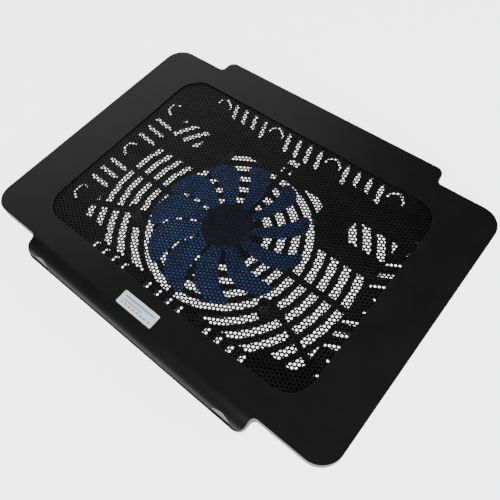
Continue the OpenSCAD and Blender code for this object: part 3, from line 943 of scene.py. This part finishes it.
@dataclass
class FanRotor:
    """The hub with its swept blades.

    Attributes:
        count: how many blades there are.
        tip: the radius at the blade tips.
        hub: the radius of the hub.
        phase: how far the first blade is turned from +X, in degrees.
        lean: how far the rear edge sweeps forward from root to tip, in degrees.
        root: the blade's width at the root, in degrees.
        tip_end: where the front edge ends at the tip, in degrees.
        power: how fast the sweep grows along the blade.
        axis: the way the blade's camber runs, in degrees.
        camber: the radius of the blade's cambered shell.
        camber_at: the middle of the shell across the blade, and its height.
        thick: the blade's thickness.
        round_r: the radius of the blade's tip corners.
        wall: the thickness of the hub's wall.
        shoulder: the rounding of the hub's upper edge.
        dish: the radius of the shallow dish in the hub's top.
        dish_depth: how deep the dish is.
        dimple: the radius of the raised middle of the dish.
        along: the steps from root to tip.
        across: the steps across a blade.
    """

    count: int = 11
    tip: float = 66.4 * MM
    hub: float = 21.0 * MM
    phase: float = 13.5
    lean: float = 20.0
    root: float = 24.0
    tip_end: float = 39.5
    power: float = 2.6
    axis: float = 22.0
    camber: float = 80.0 * MM
    camber_at: Point = (29.75 * MM, 85.2 * MM)
    thick: float = 1.5 * MM
    round_r: float = 9.0 * MM
    wall: float = 1.5 * MM
    shoulder: float = 1.6 * MM
    dish: float = 15.5 * MM
    dish_depth: float = 0.35 * MM
    dimple: float = 3.2 * MM
    along: int = 22
    across: int = 12

    def height(self, x: float, y: float) -> float:
        """How high the blade's middle surface is over a place in its plan."""
        turn = math.radians(self.axis)
        side = -x * math.sin(turn) + y * math.cos(turn)
        return self.camber_at[1] - math.sqrt(self.camber ** 2 - (side - self.camber_at[0]) ** 2)

    def place(self, along: float, across: float) -> tuple[float, float]:
        """A place in the blade's plan.

        Args:
            along: 0 at the root and 1 at the tip.
            across: 0 at the rear edge and 1 at the front edge.

        Returns:
            Its x and y, for the first blade.
        """
        inner = self.hub - 1.2 * MM
        radius = inner + (self.tip - inner) * along
        share = max(0.0, radius - self.hub) / (self.tip - self.hub)
        rear = self.lean * share ** self.power
        front = self.root + (self.tip_end - self.root) * share ** self.power
        to_tip = self.tip - radius
        pull = 0.0
        if to_tip < self.round_r:
            pull = self.round_r - math.sqrt(self.round_r ** 2 - (self.round_r - to_tip) ** 2)
        pull_angle = math.degrees(pull / radius)
        rear, front = rear + pull_angle * 0.8, front - pull_angle
        angle = math.radians(rear + (front - rear) * across)
        return radius * math.cos(angle), radius * math.sin(angle)

    def blade(self) -> bpy.types.Mesh:
        """Makes one blade, thinner and rounded towards its edges."""
        loops = []
        for i in range(self.along + 1):
            along = 1 - (1 - i / self.along) ** 1.6
            upper, lower = [], []
            for k in range(self.across + 1):
                across = (1 - math.cos(math.pi * k / self.across)) / 2
                x, y = self.place(along, across)
                edge = (1 - (2 * across - 1) ** 6) ** 0.5
                half = self.thick / 2 * edge * min(1.0, 6 * (1.02 - along)) ** 0.5
                z = self.height(x, y)
                upper.append((x, y, z + half))
                lower.append((x, y, z - half))
            loops.append(lower + upper[-2:0:-1])
        return loft("blade", loops, 60.0)

    def hub_mesh(self) -> bpy.types.Mesh:
        """Makes the hub's cup: rounded shoulder, shallow dish and thin wall."""
        low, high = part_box("fan_rotor")
        top, inner, axis = high.z, self.hub - self.wall, 0.02 * MM
        curve = arc((self.hub - self.shoulder, top - self.shoulder), self.shoulder, 0, 90, 6)
        outline = [(inner, low.z), (self.hub, low.z), *curve]
        outline += [(self.dish + 0.5 * MM, top), (self.dish, top - self.dish_depth),
                    (self.dimple, top - self.dish_depth), (self.dimple - 0.4 * MM, top - 0.1 * MM),
                    (axis, top), (axis, top - self.wall), (inner, top - self.wall)]
        turns = 96
        loops = [[(r * math.cos(a), r * math.sin(a), z) for r, z in outline]
                 for a in (2 * math.pi * t / turns for t in range(turns))]
        return loft("hub", loops, 40.0, capped=False)

    def build(self) -> None:
        """Makes blades and hub on the fan's axis."""
        yoke_low, yoke_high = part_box("rotor_yoke")
        middle = Matrix.Translation(((yoke_low.x + yoke_high.x) / 2, (yoke_low.y + yoke_high.y) / 2, 0.0))
        blades = []
        for i in range(self.count):
            turn = math.radians(self.phase) + 2 * math.pi * i / self.count
            blades.append(self.blade())
            blades[-1].transform(middle @ Matrix.Rotation(turn, 4, "Z"))
        piece = new_piece("fan_blades", joined("fan_blades", blades), Finishes.FAN, Body.FAN)
        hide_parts("fan_rotor")
        hub = self.hub_mesh()
        hub.transform(middle)
        new_piece("fan_hub", hub, Finishes.HUB, Body.FAN)
        log.info("fan: %d blades, %.0f mm across", self.count, 2 * self.tip / MM)


@dataclass
class Label:
    """A small blank label with printed bars, on the front of the frame.

    Attributes:
        node: the CAD node that it stands for.
        corner: its corner radius.
        ink: how thick the print is.
    """

    node: str = "label_plate"
    corner: float = 0.9 * MM
    ink: float = 0.01 * MM

    def slab(self, low: Sequence[float], high: Sequence[float], corner: float) -> bpy.types.Mesh:
        """Makes a thin slab with round corners and a softened top edge.

        Args:
            low: its lowest corner.
            high: its highest corner.
            corner: its corner radius.

        Returns:
            Its mesh.
        """
        edge = min(0.05 * MM, (high[2] - low[2]) / 2)
        inner_low, inner_high = [low[k] + edge for k in (0, 1)], [high[k] - edge for k in (0, 1)]
        outline = rounded_plan(low, high, corner, 6)
        inset = rounded_plan(inner_low, inner_high, corner - edge, 6)
        levels = ((outline, low[2]), (outline, high[2] - edge), (inset, high[2]))
        return loft("slab", [[(x, y, z) for x, y in loop] for loop, z in levels], 30.0)

    def bars(self, low: Vector, high: Vector) -> list[bpy.types.Mesh]:
        """Makes the print, two long bars over a row of short ones.

        Args:
            low: the label's lowest corner.
            high: the label's highest corner.

        Returns:
            The bars' meshes.
        """
        wide, deep = high.x - low.x, high.y - low.y
        rows = [(0.08, 0.92, 0.66, 0.78), (0.08, 0.62, 0.42, 0.5)]
        rows += [(0.08 + 0.11 * k, 0.15 + 0.11 * k, 0.18, 0.3) for k in range(8)]
        return [self.slab((low.x + a * wide, low.y + c * deep, high.z - self.ink),
                          (low.x + b * wide, low.y + d * deep, high.z), 0.15 * MM) for a, b, c, d in rows]

    def build(self) -> None:
        """Makes the label and its print."""
        low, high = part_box(self.node)
        plate = self.slab(low, (high.x, high.y, high.z - self.ink / 2), self.corner)
        piece = new_piece("label_face", plate, Finishes.LABEL, Body.PAD)
        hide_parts(self.node)
        new_piece("label_bars", joined("label_bars", self.bars(low, high)), Finishes.PRINT, Body.PAD)
        log.info("label: %.1f by %.1f mm", (high.x - low.x) / MM, (high.y - low.y) / MM)


@dataclass
class Studio:
    """Floor, lights and camera.

    Attributes:
        aim: where the camera looks, from the middle of the top face.
        azimuth: the camera's direction round the pad, in degrees.
        elevation: the camera's height over the pad, in degrees.
        roll: how far the picture leans, in degrees.
        distance: the camera's distance from its aim.
        lens: the focal length in millimetres, on a 36 mm sensor.
        drop: how far the floor lies under the pad, where the opened feet reach.
        glow: how much light the floor gives.
        white: how bright the floor looks.
    """

    aim: Point = (33.7 * MM, -22.0 * MM)
    azimuth: float = 46.81
    elevation: float = 59.73
    roll: float = -8.44
    distance: float = 385.0 * MM
    lens: float = 36.76
    drop: float = 33.0 * MM
    glow: float = 0.9
    white: float = 3.2

    def directions(self) -> Matrix:
        """The camera's right, up and back directions as the columns of a matrix."""
        turn, rise, roll = (math.radians(a) for a in (self.azimuth, self.elevation, self.roll))
        back = Vector((math.sin(turn) * math.cos(rise), -math.cos(turn) * math.cos(rise), math.sin(rise)))
        level = Vector((math.cos(turn), math.sin(turn), 0.0))
        up = back.cross(level)
        right = level * math.cos(roll) + up * math.sin(roll)
        return Matrix((right, back.cross(right), back)).transposed()

    def camera(self, top: float) -> None:
        """Adds the camera.

        Args:
            top: the height of the frame's top face.
        """
        data = bpy.data.cameras.new("camera")
        data.lens, data.sensor_width = self.lens, 36.0
        data.clip_start, data.clip_end = 0.01, 20.0
        camera = bpy.data.objects.new("camera", data)
        turned = self.directions()
        place = Vector((*self.aim, top)) + turned.col[2] * self.distance
        camera.matrix_world = Matrix.Translation(place) @ turned.to_4x4()
        bpy.context.scene.collection.objects.link(camera)
        bpy.context.scene.camera = camera

    def lamp(self, name: str, place: Sequence[float], at: Sequence[float], size: Point, watts: float,
             colour: Colour = (1.0, 1.0, 1.0)) -> None:
        """Adds a soft box.

        Args:
            name: the lamp's name.
            place: where it stands.
            at: where it points.
            size: its width and height.
            watts: its power.
            colour: its colour.
        """
        data = bpy.data.lights.new(name, "AREA")
        data.shape, data.size, data.size_y, data.energy, data.color = "RECTANGLE", *size, watts, colour
        lamp = bpy.data.objects.new(name, data)
        away = Vector(place) - Vector(at)
        lamp.matrix_world = Matrix.Translation(place) @ away.to_track_quat("Z", "Y").to_matrix().to_4x4()
        bpy.context.scene.collection.objects.link(lamp)

    def floor(self) -> None:
        """Adds the pale floor, which glows softly and can't be seen from below."""
        side = 6.0
        points = [(-side, -side, -self.drop), (side, -side, -self.drop), (side, side, -self.drop),
                  (-side, side, -self.drop)]
        mesh = mesh_of("floor", points, [(0, 1, 2, 3)])
        floor = bpy.data.objects.new("floor", mesh)
        bpy.context.scene.collection.objects.link(floor)
        made = bpy.data.materials.new("floor_paper")
        made.use_nodes = True
        graph = Graph(made.node_tree)
        shader = made.node_tree.nodes["Principled BSDF"]
        for key, value in (("Base Color", (0.9, 0.9, 0.9, 1.0)), ("Roughness", 0.9),
                           ("Emission Color", (1.0, 1.0, 1.0, 1.0))):
            graph.feed(shader, key, value)
        seen = graph.add("ShaderNodeLightPath").outputs["Is Camera Ray"]
        graph.feed(shader, "Emission Strength", graph.ramp(seen, 0.0, 1.0, self.glow, self.white))
        behind = graph.add("ShaderNodeNewGeometry").outputs["Backfacing"]
        mix = graph.add("ShaderNodeMixShader", {0: behind, 1: shader.outputs[0],
                                                2: graph.add("ShaderNodeBsdfTransparent").outputs[0]})
        graph.tree.links.new(mix.outputs[0], made.node_tree.nodes["Material Output"].inputs["Surface"])
        mesh.materials.append(made)

    def world(self) -> None:
        """Adds a plain grey surrounding."""
        world = bpy.data.worlds.new("studio")
        world.use_nodes = True
        world.node_tree.nodes["Background"].inputs[0].default_value = (0.9, 0.92, 0.95, 1.0)
        world.node_tree.nodes["Background"].inputs[1].default_value = 0.06
        bpy.context.scene.world = world

    def build(self) -> None:
        """Sets up the whole studio."""
        self.camera(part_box("top_frame")[1].z)
        self.floor()
        self.world()
        self.lamp("key", (-1.3, 0.75, 0.95), (-0.15, 0.05, 0.0), (1.8, 1.4), 8.0)
        self.lamp("fill", (0.7, -1.1, 1.3), (0.0, 0.0, 0.0), (1.0, 1.0), 40.0)
        self.lamp("side", (1.2, 0.6, 0.9), (0.0, 0.0, 0.0), (0.6, 0.6), 12.0)
        log.info("studio: camera %.0f mm away", self.distance / MM)


# --------------------------------------------------------------------------------------------------
# The whole pad
# --------------------------------------------------------------------------------------------------

SOFT_COPIES = (
    SoftCopy("top_frame", Finishes.FRAME, Body.PAD, 0.5 * MM, 3),
    SoftCopy("base_shell", Finishes.BASE, Body.PAD, 0.25 * MM, 1),
    SoftCopy("front_bumpers", Finishes.SILICONE, Body.PAD, 0.25 * MM, 2),
    SoftCopy("rubber_feet", Finishes.RUBBER, Body.PAD, 0.5 * MM, 3),
    SoftCopy("flip_foot_left", Finishes.BASE, Body.LEFT_FOOT, 0.4 * MM, 2),
    SoftCopy("foot_grip_left", Finishes.RUBBER, Body.LEFT_FOOT, 0.5 * MM, 3),
    SoftCopy("flip_foot_right", Finishes.BASE, Body.RIGHT_FOOT, 0.4 * MM, 2),
    SoftCopy("foot_grip_right", Finishes.RUBBER, Body.RIGHT_FOOT, 0.5 * MM, 3),
    SoftCopy("switch_slider", Finishes.SWITCH, Body.KNOB, 0.15 * MM, 2),
    SoftCopy("switch_body", Finishes.SWITCH, Body.PAD, 0.15 * MM, 2),
    SoftCopy("usb_shells", Finishes.SOCKET, Body.PAD, 0.1 * MM, 2),
    SoftCopy("usb_tongues", Finishes.TONGUE, Body.PAD, 0.1 * MM, 2),
    SoftCopy("case_screws", Finishes.SCREW, Body.PAD, 0.08 * MM, 2),
)

CARRIED = (
    Carried("bearing_tube", Finishes.BRASS),
    Carried("bearing_bush", Finishes.BRONZE),
    Carried("thrust_pad", Finishes.PAD_NYLON),
    Carried("stator_core", Finishes.CORE),
    Carried("stator_insulator", Finishes.NYLON),
    Carried("stator_coils", Finishes.COPPER),
    Carried("motor_board", Finishes.BOARD),
    Carried("hall_sensor", Finishes.CHIP),
    Carried("fan_lead", Finishes.LEAD),
    Carried("usb_board", Finishes.BOARD),
    Carried("board_parts", Finishes.CHIP),
    Carried("board_screws", Finishes.SCREW),
    Carried("usb_contacts", Finishes.CONTACT),
    Carried("foot_pins", Finishes.PIN),
    Carried("rotor_yoke", Finishes.CORE),
    Carried("magnet_ring", Finishes.MAGNET),
    Carried("motor_shaft", Finishes.PIN),
    Carried("shaft_clip", Finishes.PAD_NYLON),
)


def main() -> None:
    """Builds the studio and every sub-assembly."""
    logging.basicConfig(level=logging.INFO, format="%(name)s: %(message)s")
    Studio().build()
    for part in (*SOFT_COPIES, *CARRIED, Grille(), FanRotor(), Label()):
        part.build()


if __name__ == "__main__":
    main()
